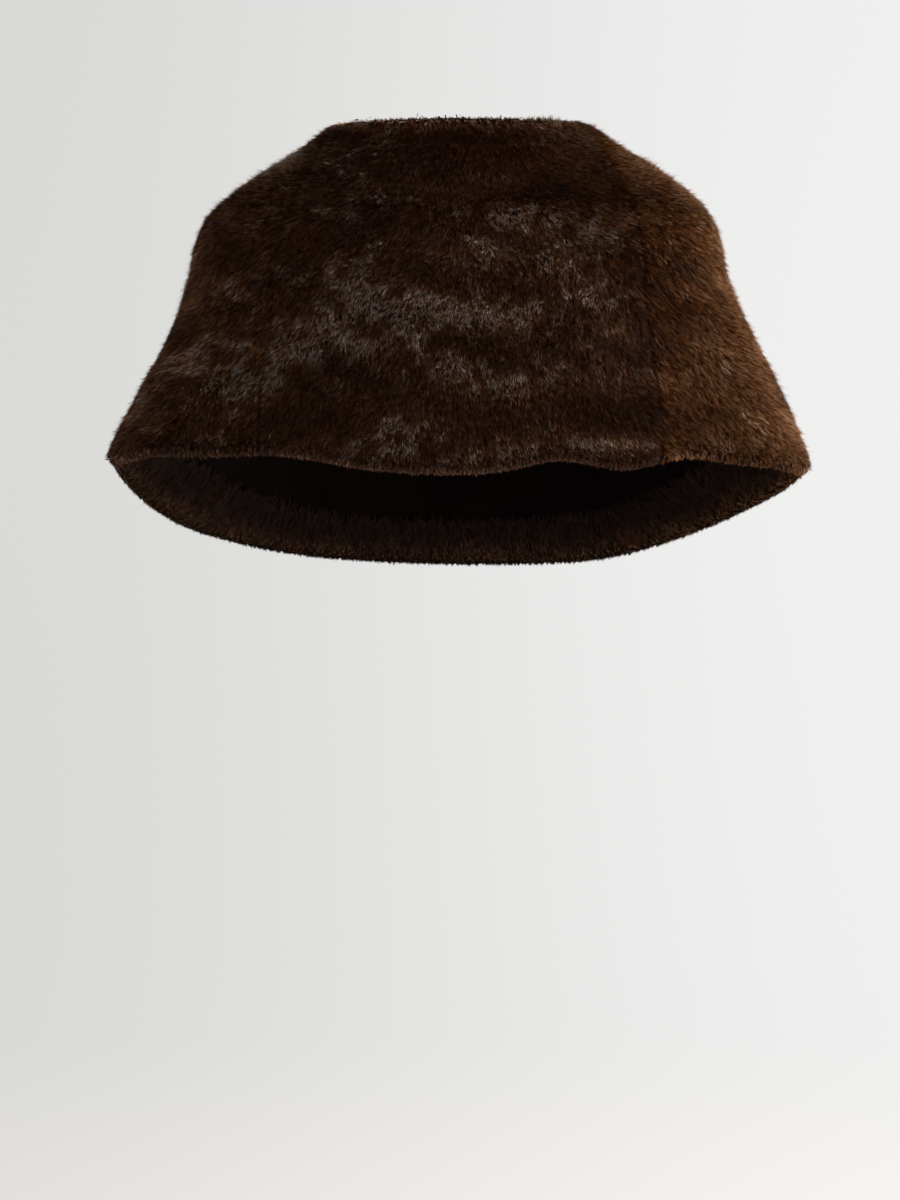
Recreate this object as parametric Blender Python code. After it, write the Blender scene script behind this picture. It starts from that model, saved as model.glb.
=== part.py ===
"""Short fur cape, worn and hollow: two panels of short-pile fur, a lining and a turned-up fur hem.

Metres, +Z up, the wearer faces -Y and the wearer's left is +X.
The origin lies midway between the tops of the shoulders, which carry the cape.
"""

from typing import NamedTuple

import bmesh
import bpy
import numpy as np

# Driving sizes
FUR_WALL = 0.012          # hide and pile together, from the lining to the tips of the fur
FACING_WALL = 0.007       # the fur turned up inside the hem, pressed flatter
LINING_WALL = 0.0012      # satin
GAP = 0.0003              # between neighbouring pieces
FACING_HEIGHT = 0.040     # how far the fur is turned up inside the hem
HEM_FOLD_DROP = 0.008     # how far the round of the hem hangs below the last ring of the panels
FACING_BROW = 0.0035      # how far the facing's upper edge slopes down to the inside
RING_GAP = 0.001          # gap between the lining and the facing, as a share of the way down

# Grid
BACK_COLUMNS = 20
FRONT_COLUMNS = 48
ROWS = 21
ROW_CROWDING = 0.35       # how much closer the rings lie at the neck and at the hem
LINING_FIRST_RING = 1     # the lining starts just below the neck edge
NECK_TURNS = (30.0, 70.0, 110.0, 150.0)   # degrees round the neck edge, from the outside to the inside
HEM_TURNS = (32.0, 64.0)  # degrees round each side of the hem's fold
SHARP_DEGREES = 50.0      # a steeper edge is shaded sharp
PROBE = 1e-4              # step used to measure a slope on the surface


class Section(NamedTuple):
    """One ring of the outer surface, from the neck down to the hem."""

    down: float           # share of the way from the neck edge to the hem
    left: float           # reach to the wearer's left
    right: float          # reach to the wearer's right
    left_height: float
    right_height: float
    back: float           # reach to the back
    back_height: float
    front: float          # reach to the front
    front_height: float
    left_pinch: float     # 0 is an ellipse; more draws the ring to an edge at that side
    right_pinch: float
    seam_angle: float     # degrees from the centre back to each seam


SECTIONS = (
    Section(0.00, 0.120, 0.117, 0.096, 0.099, 0.081, 0.089, 0.100, 0.048, 0.00, 0.00, 76.0),
    Section(0.10, 0.147, 0.152, 0.074, 0.075, 0.093, 0.058, 0.121, 0.015, 0.00, 0.00, 59.0),
    Section(0.20, 0.182, 0.187, 0.052, 0.053, 0.107, 0.026, 0.142, -0.018, 0.00, 0.00, 50.0),
    Section(0.30, 0.214, 0.218, 0.029, 0.029, 0.123, -0.005, 0.162, -0.052, 0.00, 0.00, 45.0),
    Section(0.36, 0.231, 0.231, 0.013, 0.013, 0.132, -0.024, 0.172, -0.073, 0.00, 0.00, 43.6),
    Section(0.42, 0.241, 0.239, -0.006, -0.006, 0.141, -0.043, 0.181, -0.094, 0.00, 0.00, 42.7),
    Section(0.55, 0.250, 0.248, -0.048, -0.048, 0.156, -0.084, 0.197, -0.139, 0.00, 0.05, 41.3),
    Section(0.70, 0.265, 0.268, -0.092, -0.092, 0.170, -0.131, 0.211, -0.191, 0.03, 0.15, 39.6),
    Section(0.85, 0.293, 0.295, -0.145, -0.146, 0.182, -0.179, 0.221, -0.248, 0.07, 0.28, 36.9),
    Section(1.00, 0.324, 0.324, -0.203, -0.213, 0.192, -0.224, 0.229, -0.296, 0.10, 0.36, 33.4),
)

# How gently a ring leaves its height at the side: a small value drops at once, a large one later
BACK_SOFTNESS = 0.30
NECK_FRONT_SOFTNESS = 0.80
LEFT_HEM_SOFTNESS = 0.12
RIGHT_HEM_SOFTNESS = 0.22


class Flute(NamedTuple):
    """One soft fold that runs down to the hem and deepens on the way."""

    angle: float          # degrees from the centre back, towards the wearer's left
    depth: float          # outwards at the hem, or inwards if negative
    spread: float         # degrees
    start: float          # share of the way down where it begins


FLUTES = (
    Flute(6.0, 0.005, 15.0, 0.35),
    Flute(-17.0, -0.004, 9.0, 0.55),
    Flute(-41.0, -0.008, 9.0, 0.45),
    Flute(-62.0, 0.007, 10.0, 0.35),
    Flute(33.0, -0.006, 11.0, 0.45),
    Flute(62.0, 0.005, 14.0, 0.40),
    Flute(118.0, -0.006, 13.0, 0.40),
    Flute(146.0, 0.008, 12.0, 0.30),
    Flute(178.0, -0.007, 13.0, 0.40),
    Flute(211.0, 0.008, 12.0, 0.30),
    Flute(238.0, -0.006, 11.0, 0.45),
)


class Crease(NamedTuple):
    """One short drag line across a panel."""

    angle: float
    down: float
    depth: float          # outwards, or inwards if negative
    angle_spread: float
    down_spread: float


CREASES = (
    Crease(24.0, 0.055, -0.0030, 34.0, 0.030),
    Crease(-10.0, 0.195, -0.0040, 24.0, 0.035),
    Crease(-6.0, 0.272, 0.0030, 26.0, 0.040),
    Crease(28.0, 0.420, -0.0030, 18.0, 0.050),
    Crease(168.0, 0.140, -0.0040, 30.0, 0.040),
    Crease(196.0, 0.230, 0.0035, 28.0, 0.045),
)


class HemWave(NamedTuple):
    """One place where the lower edge rises or dips."""

    angle: float
    rise: float
    spread: float


HEM_WAVES = (
    HemWave(54.0, 0.010, 15.0),
    HemWave(30.0, 0.014, 14.0),
    HemWave(-16.0, 0.012, 8.0),
    HemWave(-40.0, 0.014, 10.0),
    HemWave(-58.0, 0.005, 12.0),
    HemWave(118.0, -0.012, 20.0),
    HemWave(150.0, -0.003, 14.0),
    HemWave(205.0, -0.005, 14.0),
)
HEM_WAVE_START = 0.72

# Finishes: linear colour, roughness
FUR_COLOUR = (0.030, 0.015, 0.008, 1.0)
FACING_COLOUR = (0.036, 0.020, 0.011, 1.0)
LINING_COLOUR = (0.006, 0.004, 0.004, 1.0)
FUR_ROUGHNESS = 0.62
LINING_ROUGHNESS = 0.40

TURN = 2.0 * np.pi


def column_of(name):
    """One column of the table of sections, top to bottom."""
    return np.array([getattr(section, name) for section in SECTIONS])


def along_sections(name, down):
    """A column of the table at any share of the way down, on a smooth curve through its rows."""
    knots = column_of("down")
    values = column_of(name)
    slopes = np.gradient(values, knots)
    down = np.clip(down, 0.0, 1.0)
    row = np.clip(np.searchsorted(knots, down, side="right") - 1, 0, len(knots) - 2)
    span = knots[row + 1] - knots[row]
    s = (down - knots[row]) / span
    start = (1 + 2 * s) * (1 - s) ** 2 * values[row] + s * (1 - s) ** 2 * span * slopes[row]
    end = s**2 * (3 - 2 * s) * values[row + 1] + s**2 * (s - 1) * span * slopes[row + 1]
    return start + end


def turned_from(angle, centre_degrees):
    """How far an angle lies from another, the short way round."""
    return (angle - np.radians(centre_degrees) + np.pi) % TURN - np.pi


def bump(distance, spread):
    """A soft hump, 1 in the middle and near 0 beyond twice its spread."""
    return np.exp(-((distance / spread) ** 2))


def eased(value, start):
    """0 up to the start, then a smooth climb to 1 at 1."""
    s = np.clip((value - start) / (1.0 - start), 0.0, 1.0)
    return s * s * (3.0 - 2.0 * s)


def share_of_drop(across, softness):
    """The share of the drop from the side to the centre that a ring has made."""
    reached = np.sqrt(across**2 + softness**2) - softness
    return reached / (np.sqrt(1.0 + softness**2) - softness)


def outer_surface(angle, down):
    """Points of the outer surface. The angle runs from the centre back towards the wearer's left."""
    angle, down = np.broadcast_arrays(angle, down)
    sine = np.sin(angle)
    cosine = np.cos(angle)
    on_left = sine > 0
    on_back = cosine > 0

    side = np.where(on_left, along_sections("left", down), along_sections("right", down))
    side_height = np.where(
        on_left, along_sections("left_height", down), along_sections("right_height", down)
    )
    pinch = np.where(
        on_left, along_sections("left_pinch", down), along_sections("right_pinch", down)
    )
    centre = np.where(on_back, along_sections("back", down), along_sections("front", down))
    centre_height = np.where(
        on_back, along_sections("back_height", down), along_sections("front_height", down)
    )
    hem_softness = np.where(on_left, LEFT_HEM_SOFTNESS, RIGHT_HEM_SOFTNESS)
    front_softness = NECK_FRONT_SOFTNESS + (hem_softness - NECK_FRONT_SOFTNESS) * down
    softness = np.where(on_back, BACK_SOFTNESS, front_softness)

    across = np.abs(cosine)
    x = side * sine
    y = centre * cosine * ((1.0 - pinch) + pinch * across)
    z = side_height + (centre_height - side_height) * share_of_drop(across, softness)

    out = np.zeros_like(x)
    for flute in FLUTES:
        hump = bump(turned_from(angle, flute.angle), np.radians(flute.spread))
        out = out + flute.depth * hump * eased(down, flute.start)
    for crease in CREASES:
        hump = bump(turned_from(angle, crease.angle), np.radians(crease.angle_spread))
        out = out + crease.depth * hump * bump(down - crease.down, crease.down_spread)
    for wave in HEM_WAVES:
        hump = bump(turned_from(angle, wave.angle), np.radians(wave.spread))
        z = z + wave.rise * hump * eased(down, HEM_WAVE_START)

    return np.stack([x + out * sine, y + out * cosine, z], axis=-1)


def unit(vectors):
    """The vectors at length 1."""
    return vectors / np.linalg.norm(vectors, axis=-1, keepdims=True)


def slope_round(angle, down):
    """The surface's rate of change round the body."""
    ahead = outer_surface(angle + PROBE, down)
    behind = outer_surface(angle - PROBE, down)
    return (ahead - behind) / (2.0 * PROBE)


def slope_down(angle, down):
    """The surface's rate of change from the neck towards the hem."""
    upper = np.maximum(down - PROBE, 0.0)
    lower = np.minimum(down + PROBE, 1.0)
    change = outer_surface(angle, lower) - outer_surface(angle, upper)
    return change / (lower - upper)[..., None]


def layer(angle, down, depth):
    """Points that lie this deep under the outer surface."""
    outward = unit(np.cross(slope_round(angle, down), slope_down(angle, down)))
    return outer_surface(angle, down) - depth * outward


def ring_shares():
    """The rings of the grid, closer together near the neck and the hem."""
    even = np.linspace(0.0, 1.0, ROWS)
    return even - ROW_CROWDING * np.sin(TURN * even) / TURN


def facing_top(rings):
    """The ring nearest to the turned-up hem's height, where the lining meets it."""
    side_drop = np.linalg.norm(np.diff(outer_surface(np.pi / 2, rings), axis=0), axis=-1)
    to_hem = np.append(np.cumsum(side_drop[::-1])[::-1], 0.0)
    return int(np.argmin(np.abs(to_hem - FACING_HEIGHT)))


def back_angles(down):
    """Angles of the back panel's columns at each ring, from seam to seam."""
    across = np.linspace(-1.0, 1.0, BACK_COLUMNS + 1)[:, None]
    seam = np.radians(along_sections("seam_angle", down))[None, :]
    return across * (seam - half_gap(seam, down[None, :]))


def front_angles(down):
    """Angles of the front panel's columns at each ring, from the left seam round the front."""
    share = np.linspace(0.0, 1.0, FRONT_COLUMNS + 1)[:, None]
    seam = np.radians(along_sections("seam_angle", down))[None, :]
    start = seam + half_gap(seam, down[None, :])
    return start + share * (TURN - 2.0 * start)


def half_gap(angle, down):
    """Half of the gap at a seam, as an angle."""
    return 0.5 * GAP / np.linalg.norm(slope_round(angle, down), axis=-1)


def edge_slopes(angles, down):
    """Directions along the wall at its two edges: up off the upper edge and down off the lower one."""
    first = np.full_like(angles[:, 0], down[0])
    last = np.full_like(angles[:, -1], down[-1])
    up = -unit(slope_down(angles[:, 0], first))[:, None, :]
    low = unit(slope_down(angles[:, -1], last))[:, None, :]
    return up, low


def hem_half(edge, foot, low):
    """One side of the hem's fold: a quarter round from an edge to below the foot, and its flat."""
    turn = np.radians(HEM_TURNS)[None, :, None]
    rounded = foot + (edge - foot) * np.cos(turn) + low * HEM_FOLD_DROP * np.sin(turn)
    flat = foot + low * HEM_FOLD_DROP * np.linspace(1.0, 0.5, len(HEM_TURNS))[None, :, None]
    return rounded, flat


def fur_sections(angles, down):
    """Sections of a fur panel, with a half-round neck edge and a hem that rounds in to the facing."""
    outer = layer(angles, down[None, :], 0.0)
    inner = layer(angles, down[None, :], FUR_WALL)
    up, low = edge_slopes(angles, down)
    middle = 0.5 * (outer[:, :1] + inner[:, :1])
    turn = np.radians(NECK_TURNS)[None, :, None]
    neck = middle + (outer[:, :1] - middle) * np.cos(turn) + up * (0.5 * FUR_WALL) * np.sin(turn)
    neck_outside, neck_inside = np.split(neck, 2, axis=1)
    rounded, flat = hem_half(outer[:, -1:], inner[:, -1:], low)
    parts = [neck_outside[:, ::-1], outer, rounded, flat, inner[:, ::-1], neck_inside[:, ::-1]]
    return np.concatenate(parts, axis=1)


def facing_sections(angles, down):
    """Sections of the turned-up hem: flat against the panel, with a lower edge that finishes the fold."""
    outer = layer(angles, down[None, :], FUR_WALL + GAP)
    inner = layer(angles, down[None, :], FUR_WALL + GAP + FACING_WALL)
    up, low = edge_slopes(angles, down)
    inner[:, :1] -= up * FACING_BROW
    rounded, flat = hem_half(inner[:, -1:], outer[:, -1:], low)
    return np.concatenate([outer, flat[:, ::-1], rounded[:, ::-1], inner[:, ::-1]], axis=1)


def lining_sections(angles, down):
    """Sections of the lining, a thin sheet just inside the fur."""
    outer = layer(angles, down[None, :], FUR_WALL + GAP)
    inner = layer(angles, down[None, :], FUR_WALL + GAP + LINING_WALL)
    return np.concatenate([outer, inner[:, ::-1]], axis=1)


def loft(name, sections, material, collection):
    """Joins closed sections, one for each column, into a wall and closes its two ends.

    A section runs down the wall's one face and up its other. Each quad is split along the same
    diagonal on both faces, so that pieces which lie on each other stay parallel.
    """
    columns, around = sections.shape[:2]
    half = around // 2
    mesh = bpy.data.meshes.new(name)
    shape = bmesh.new()
    rings = [[shape.verts.new(point) for point in section] for section in sections]
    for ring, following in zip(rings, rings[1:]):
        for here in range(around):
            there = (here + 1) % around
            a, b, c, d = ring[here], ring[there], following[there], following[here]
            if here < half:
                shape.faces.new((a, b, c))
                shape.faces.new((a, c, d))
            else:
                shape.faces.new((a, b, d))
                shape.faces.new((b, c, d))
    for ring in (rings[0], rings[-1]):
        for here in range(half - 1):
            shape.faces.new((ring[here], ring[here + 1], ring[-2 - here], ring[-1 - here]))
    bmesh.ops.recalc_face_normals(shape, faces=shape.faces)
    shape.to_mesh(mesh)
    shape.free()
    mesh.materials.append(material)
    mesh.shade_smooth()
    mesh.set_sharp_from_angle(angle=np.radians(SHARP_DEGREES))
    piece = bpy.data.objects.new(name, mesh)
    collection.objects.link(piece)
    return piece


def finish(name, colour, roughness):
    """A plain material of one colour."""
    material = bpy.data.materials.new(name)
    material.use_nodes = True
    shader = material.node_tree.nodes["Principled BSDF"]
    shader.inputs["Base Color"].default_value = colour
    shader.inputs["Roughness"].default_value = roughness
    shader.inputs["Metallic"].default_value = 0.0
    return material


def clear_scene():
    """Removes every object that the scene starts with."""
    for item in list(bpy.data.objects):
        bpy.data.objects.remove(item)


def build_cape():
    """Makes the six sewn pieces of the cape."""
    clear_scene()
    collection = bpy.data.collections.new("fur_cape")
    bpy.context.scene.collection.children.link(collection)
    fur = finish("brown_fur", FUR_COLOUR, FUR_ROUGHNESS)
    turned_fur = finish("turned_up_fur", FACING_COLOUR, FUR_ROUGHNESS)
    satin = finish("dark_satin", LINING_COLOUR, LINING_ROUGHNESS)

    rings = ring_shares()
    turn_up = facing_top(rings)
    facing_rings = rings[turn_up:]
    lining_rings = rings[LINING_FIRST_RING : turn_up + 1].copy()
    lining_rings[-1] -= RING_GAP
    for place, angles in (("back", back_angles), ("front", front_angles)):
        loft(f"{place}_panel", fur_sections(angles(rings), rings), fur, collection)
        loft(f"{place}_lining", lining_sections(angles(lining_rings), lining_rings), satin, collection)
        loft(
            f"{place}_hem_facing",
            facing_sections(angles(facing_rings), facing_rings),
            turned_fur,
            collection,
        )


build_cape()
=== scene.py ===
"""Short fur cape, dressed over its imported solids: hide, underfur, guard hair, turned-up hem and lining.

Metres, +Z up, the front is towards -Y and the left side, as worn, towards +X. An angle on the cape runs from
the centre back towards the left, and `down` is the share of the way from the neck edge to the hem.
"""

import logging
import math
from dataclasses import dataclass, field
from enum import Enum
from typing import Any, Callable, NamedTuple, Sequence

import bpy
import numpy as np
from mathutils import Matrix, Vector

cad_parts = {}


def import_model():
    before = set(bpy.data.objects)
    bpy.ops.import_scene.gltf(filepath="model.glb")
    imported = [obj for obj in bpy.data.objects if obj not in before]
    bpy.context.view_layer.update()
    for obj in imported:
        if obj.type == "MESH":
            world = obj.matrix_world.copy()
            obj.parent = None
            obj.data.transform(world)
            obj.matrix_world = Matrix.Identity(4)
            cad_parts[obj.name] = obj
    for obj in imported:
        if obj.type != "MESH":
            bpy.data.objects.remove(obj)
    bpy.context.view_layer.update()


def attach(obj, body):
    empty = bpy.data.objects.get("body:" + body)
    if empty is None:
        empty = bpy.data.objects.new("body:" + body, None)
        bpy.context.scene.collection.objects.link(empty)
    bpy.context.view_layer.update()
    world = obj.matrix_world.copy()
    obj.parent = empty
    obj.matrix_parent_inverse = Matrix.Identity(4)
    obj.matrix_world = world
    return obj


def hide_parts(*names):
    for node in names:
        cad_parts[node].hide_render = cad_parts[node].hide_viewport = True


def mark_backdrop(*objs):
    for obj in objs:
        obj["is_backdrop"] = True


LOG = logging.getLogger("fur_cape")
BODY = "root"
TURN = 2.0 * math.pi
PILE_MAP = "OFBake"     # UV map of the hair: cool then warm tones lie across it, root to tip runs up it

Array = np.ndarray


class Side(Enum):
    """The two panels that the cape is cut from."""

    BACK = "back"
    FRONT = "front"


class Ring(NamedTuple):
    """One ring of the outer surface, in metres and degrees."""

    down: float
    left: float
    right: float
    left_height: float
    right_height: float
    back: float
    back_height: float
    front: float
    front_height: float
    left_pinch: float
    right_pinch: float
    seam_angle: float


class Flute(NamedTuple):
    """A soft fold that runs down to the hem: outwards, or inwards if its depth is negative."""

    angle: float
    depth: float
    spread: float
    start: float


class HemWave(NamedTuple):
    """A place where the lower edge rises or dips."""

    angle: float
    rise: float
    spread: float


class Patch(NamedTuple):
    """A soft patch of the cape: its place, how far it spreads, and its amount at the middle."""

    angle: float
    down: float
    angle_spread: float
    down_spread: float
    amount: float


class Band(NamedTuple):
    """A soft band round the cape."""

    down: float
    spread: float
    amount: float


def linear(hex_colour: str) -> tuple[float, float, float, float]:
    """Turns an sRGB hex colour into a linear one.

    Args:
        hex_colour: Six hex digits, with or without a leading hash.

    Returns:
        Red, green, blue and an alpha of 1.
    """
    digits = hex_colour.lstrip("#")
    parts = np.array([int(digits[i : i + 2], 16) / 255.0 for i in (0, 2, 4)])
    curve = np.where(parts <= 0.04045, parts / 12.92, ((parts + 0.055) / 1.055) ** 2.4)
    return (*curve.tolist(), 1.0)


def unit(vectors: Array) -> Array:
    """Vectors brought to length 1."""
    return vectors / np.maximum(np.linalg.norm(vectors, axis=-1, keepdims=True), 1e-12)


def bump(distance: Array, spread: float) -> Array:
    """A soft hump: e to the power of minus the square of distance over spread."""
    return np.exp(-((distance / spread) ** 2))


def eased(value: Array, start: float, end: float = 1.0) -> Array:
    """A smooth step from 0 at start to 1 at end: 3 s squared minus 2 s cubed."""
    s = np.clip((value - start) / (end - start), 0.0, 1.0)
    return s * s * (3.0 - 2.0 * s)


def turned_from(angle: Array, centre_degrees: float) -> Array:
    """How far an angle lies from another, the short way round, in radians."""
    return (angle - math.radians(centre_degrees) + math.pi) % TURN - math.pi


def patched(patches: Sequence[Patch], angle: Array, down: Array) -> Array:
    """Adds up patches: each is its amount times a hump round the cape and a hump down it.

    Args:
        patches: The patches.
        angle: Angles from the centre back, in radians.
        down: Shares of the way down.

    Returns:
        The sum at each place.
    """
    total = np.zeros(np.shape(angle))
    for patch in patches:
        hump = bump(turned_from(angle, patch.angle), math.radians(patch.angle_spread))
        total += patch.amount * hump * bump(down - patch.down, patch.down_spread)
    return total


@dataclass(frozen=True)
class Drift:
    """Smooth noise in space: sine waves in random directions, added up.

    The sum is brought to a mean square of 1, and size is the usual width of a patch along X, Y and Z.
    """

    size: tuple[float, float, float]
    seed: int
    waves: int = 20

    def at(self, points: Array) -> Array:
        """Reads the noise.

        Args:
            points: Places, with x, y and z along the last axis.

        Returns:
            One value for each place, mostly between -2 and 2.
        """
        rng = np.random.default_rng(self.seed)
        ways = rng.normal(size=(self.waves, 3)) * (math.pi / np.array(self.size)) * 0.7
        phases = rng.uniform(0.0, TURN, self.waves)
        total = np.zeros(points.shape[:-1])
        for way, phase in zip(ways, phases):
            total += np.sin(points @ way + phase)
        return total * math.sqrt(2.0 / self.waves)


@dataclass(frozen=True)
class CapeForm:
    """The cape's drape, as one surface of an angle and the share of the way down."""

    rings: tuple[Ring, ...] = (
        Ring(0.00, 0.120, 0.117, 0.096, 0.099, 0.081, 0.089, 0.100, 0.048, 0.00, 0.00, 76.0),
        Ring(0.10, 0.147, 0.152, 0.074, 0.075, 0.093, 0.058, 0.121, 0.015, 0.00, 0.00, 59.0),
        Ring(0.20, 0.182, 0.187, 0.052, 0.053, 0.107, 0.026, 0.142, -0.018, 0.00, 0.00, 50.0),
        Ring(0.30, 0.214, 0.218, 0.029, 0.029, 0.123, -0.005, 0.162, -0.052, 0.00, 0.00, 45.0),
        Ring(0.36, 0.231, 0.231, 0.013, 0.013, 0.132, -0.024, 0.172, -0.073, 0.00, 0.00, 43.6),
        Ring(0.42, 0.241, 0.239, -0.006, -0.006, 0.141, -0.043, 0.181, -0.094, 0.00, 0.00, 42.7),
        Ring(0.55, 0.250, 0.248, -0.048, -0.048, 0.156, -0.084, 0.197, -0.139, 0.00, 0.05, 41.3),
        Ring(0.70, 0.265, 0.268, -0.092, -0.092, 0.170, -0.131, 0.211, -0.191, 0.03, 0.15, 39.6),
        Ring(0.85, 0.293, 0.295, -0.145, -0.146, 0.182, -0.179, 0.221, -0.248, 0.07, 0.28, 36.9),
        Ring(1.00, 0.324, 0.324, -0.203, -0.213, 0.192, -0.224, 0.229, -0.296, 0.10, 0.36, 33.4),
    )
    flutes: tuple[Flute, ...] = (
        Flute(6.0, 0.005, 15.0, 0.35),
        Flute(-17.0, -0.004, 9.0, 0.55),
        Flute(-41.0, -0.008, 9.0, 0.45),
        Flute(-62.0, 0.007, 10.0, 0.35),
        Flute(33.0, -0.006, 11.0, 0.45),
        Flute(62.0, 0.005, 14.0, 0.40),
        Flute(118.0, -0.006, 13.0, 0.40),
        Flute(146.0, 0.008, 12.0, 0.30),
        Flute(178.0, -0.007, 13.0, 0.40),
        Flute(211.0, 0.008, 12.0, 0.30),
        Flute(238.0, -0.006, 11.0, 0.45),
    )
    creases: tuple[Patch, ...] = (      # drag lines: outwards, or inwards where the amount is negative
        Patch(24.0, 0.055, 34.0, 0.030, -0.0030),
        Patch(-10.0, 0.195, 24.0, 0.035, -0.0040),
        Patch(-6.0, 0.272, 26.0, 0.040, 0.0030),
        Patch(28.0, 0.420, 18.0, 0.050, -0.0030),
        Patch(168.0, 0.140, 30.0, 0.040, -0.0040),
        Patch(196.0, 0.230, 28.0, 0.045, 0.0035),
    )
    hem_waves: tuple[HemWave, ...] = (
        HemWave(54.0, 0.010, 15.0),
        HemWave(30.0, 0.014, 14.0),
        HemWave(-16.0, 0.012, 8.0),
        HemWave(-40.0, 0.014, 10.0),
        HemWave(-58.0, 0.005, 12.0),
        HemWave(118.0, -0.012, 20.0),
        HemWave(150.0, -0.003, 14.0),
        HemWave(205.0, -0.005, 14.0),
    )
    hem_wave_start: float = 0.72
    back_softness: float = 0.30
    neck_front_softness: float = 0.80
    left_hem_softness: float = 0.12
    right_hem_softness: float = 0.22
    seam_gap: float = 0.0003
    probe: float = 1e-4

    def column(self, name: str, down: Array) -> Array:
        """One column of the rings on a smooth curve: a cubic between rows, with the rows' mean slopes.

        Args:
            name: The column.
            down: Shares of the way down.

        Returns:
            The column's values there.
        """
        knots = np.array([ring.down for ring in self.rings])
        values = np.array([getattr(ring, name) for ring in self.rings])
        slopes = np.gradient(values, knots)
        down = np.clip(down, 0.0, 1.0)
        row = np.clip(np.searchsorted(knots, down, side="right") - 1, 0, len(knots) - 2)
        span = knots[row + 1] - knots[row]
        s = (down - knots[row]) / span
        start = (1 + 2 * s) * (1 - s) ** 2 * values[row] + s * (1 - s) ** 2 * span * slopes[row]
        end = s**2 * (3 - 2 * s) * values[row + 1] + s**2 * (s - 1) * span * slopes[row + 1]
        return start + end

    def seam(self, down: Array) -> Array:
        """The angle from the centre back to each seam, in radians."""
        return np.radians(self.column("seam_angle", down))

    def surface(self, angle: Array, down: Array) -> Array:
        """Points of the outer surface.

        x is the reach to the side times the sine, y the reach to the back or front times the cosine, drawn
        to an edge by the pinch, and z falls from the side to the centre. Flutes and creases push a point
        outwards by soft humps, and hem waves lift it.

        Args:
            angle: Angles from the centre back, in radians.
            down: Shares of the way down.

        Returns:
            Points, with x, y and z along the last axis.
        """
        angle, down = np.broadcast_arrays(angle, down)
        sine, cosine = np.sin(angle), np.cos(angle)
        on_left, on_back = sine > 0, cosine > 0
        side = np.where(on_left, self.column("left", down), self.column("right", down))
        pinch = np.where(on_left, self.column("left_pinch", down), self.column("right_pinch", down))
        top = np.where(on_left, self.column("left_height", down), self.column("right_height", down))
        centre = np.where(on_back, self.column("back", down), self.column("front", down))
        foot = np.where(on_back, self.column("back_height", down), self.column("front_height", down))
        hem_softness = np.where(on_left, self.left_hem_softness, self.right_hem_softness)
        front_softness = self.neck_front_softness + (hem_softness - self.neck_front_softness) * down
        soft = np.where(on_back, self.back_softness, front_softness)

        across = np.abs(cosine)
        fallen = (np.sqrt(across**2 + soft**2) - soft) / (np.sqrt(1.0 + soft**2) - soft)
        x = side * sine
        y = centre * cosine * ((1.0 - pinch) + pinch * across)
        z = top + (foot - top) * fallen
        out = patched(self.creases, angle, down)
        for flute in self.flutes:
            hump = bump(turned_from(angle, flute.angle), math.radians(flute.spread))
            out = out + flute.depth * hump * eased(down, flute.start)
        for wave in self.hem_waves:
            hump = bump(turned_from(angle, wave.angle), math.radians(wave.spread))
            z = z + wave.rise * hump * eased(down, self.hem_wave_start)
        return np.stack([x + out * sine, y + out * cosine, z], axis=-1)

    def slopes(self, angle: Array, down: Array) -> tuple[Array, Array]:
        """The surface's rates of change round the cape and towards the hem, by small steps.

        Args:
            angle: Angles from the centre back.
            down: Shares of the way down.

        Returns:
            Change for a radian, and change for the whole way down.
        """
        angle, down = np.broadcast_arrays(angle, down)
        ahead = self.surface(angle + self.probe, down) - self.surface(angle - self.probe, down)
        upper = np.maximum(down - self.probe, 0.0)
        lower = np.minimum(down + self.probe, 1.0)
        below = self.surface(angle, lower) - self.surface(angle, upper)
        return ahead / (2.0 * self.probe), below / (lower - upper)[..., None]

    def layer(self, angle: Array, down: Array, depth: float) -> tuple[Array, Array, Array]:
        """A surface that lies under the outer one.

        Args:
            angle: Angles from the centre back.
            down: Shares of the way down.
            depth: How deep it lies.

        Returns:
            Points, the outward directions and the directions towards the hem.
        """
        round_slope, down_slope = self.slopes(angle, down)
        outward = unit(np.cross(round_slope, down_slope))
        return self.surface(angle, down) - depth * outward, outward, unit(down_slope)

    def span(self, side: Side, down: Array) -> tuple[Array, Array]:
        """The angles of a panel's two edges, half a seam gap from each seam.

        Args:
            side: Which panel.
            down: Shares of the way down.

        Returns:
            The first edge's angles and the last edge's.
        """
        seam = self.seam(down)
        slope = np.linalg.norm(self.slopes(seam, down)[0], axis=-1)
        half = 0.5 * self.seam_gap / slope
        if side is Side.BACK:
            return half - seam, seam - half
        return seam + half, TURN - seam - half

    def across(self, side: Side, share: Array, down: Array) -> Array:
        """Angles at even shares of the way across a panel, from its first edge to its last.

        Args:
            side: Which panel.
            share: Shares of the way across.
            down: Shares of the way down.

        Returns:
            The angles.
        """
        first, last = self.span(side, down)
        return first + share * (last - first)


@dataclass(frozen=True)
class Walls:
    """Thicknesses through the cape, from the tips of the fur inwards."""

    fur: float = 0.012            # hide and pile together
    pile: float = 0.0046          # how deep the hide's surface lies under the tips
    gap: float = 0.0003
    facing: float = 0.007         # the turned-up hem
    facing_pile: float = 0.0030   # its pile is pressed flatter
    facing_start: float = 0.8951  # share of the way down where the facing begins
    facing_brow: float = 0.0035   # how far its upper edge is rounded down
    lining: float = 0.0012
    lining_start: float = 0.0328  # shares of the way down where the lining begins and ends
    lining_end: float = 0.8941
    fold_drop: float = 0.0055     # how far the hide of the hem's fold hangs below the last ring


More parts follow.
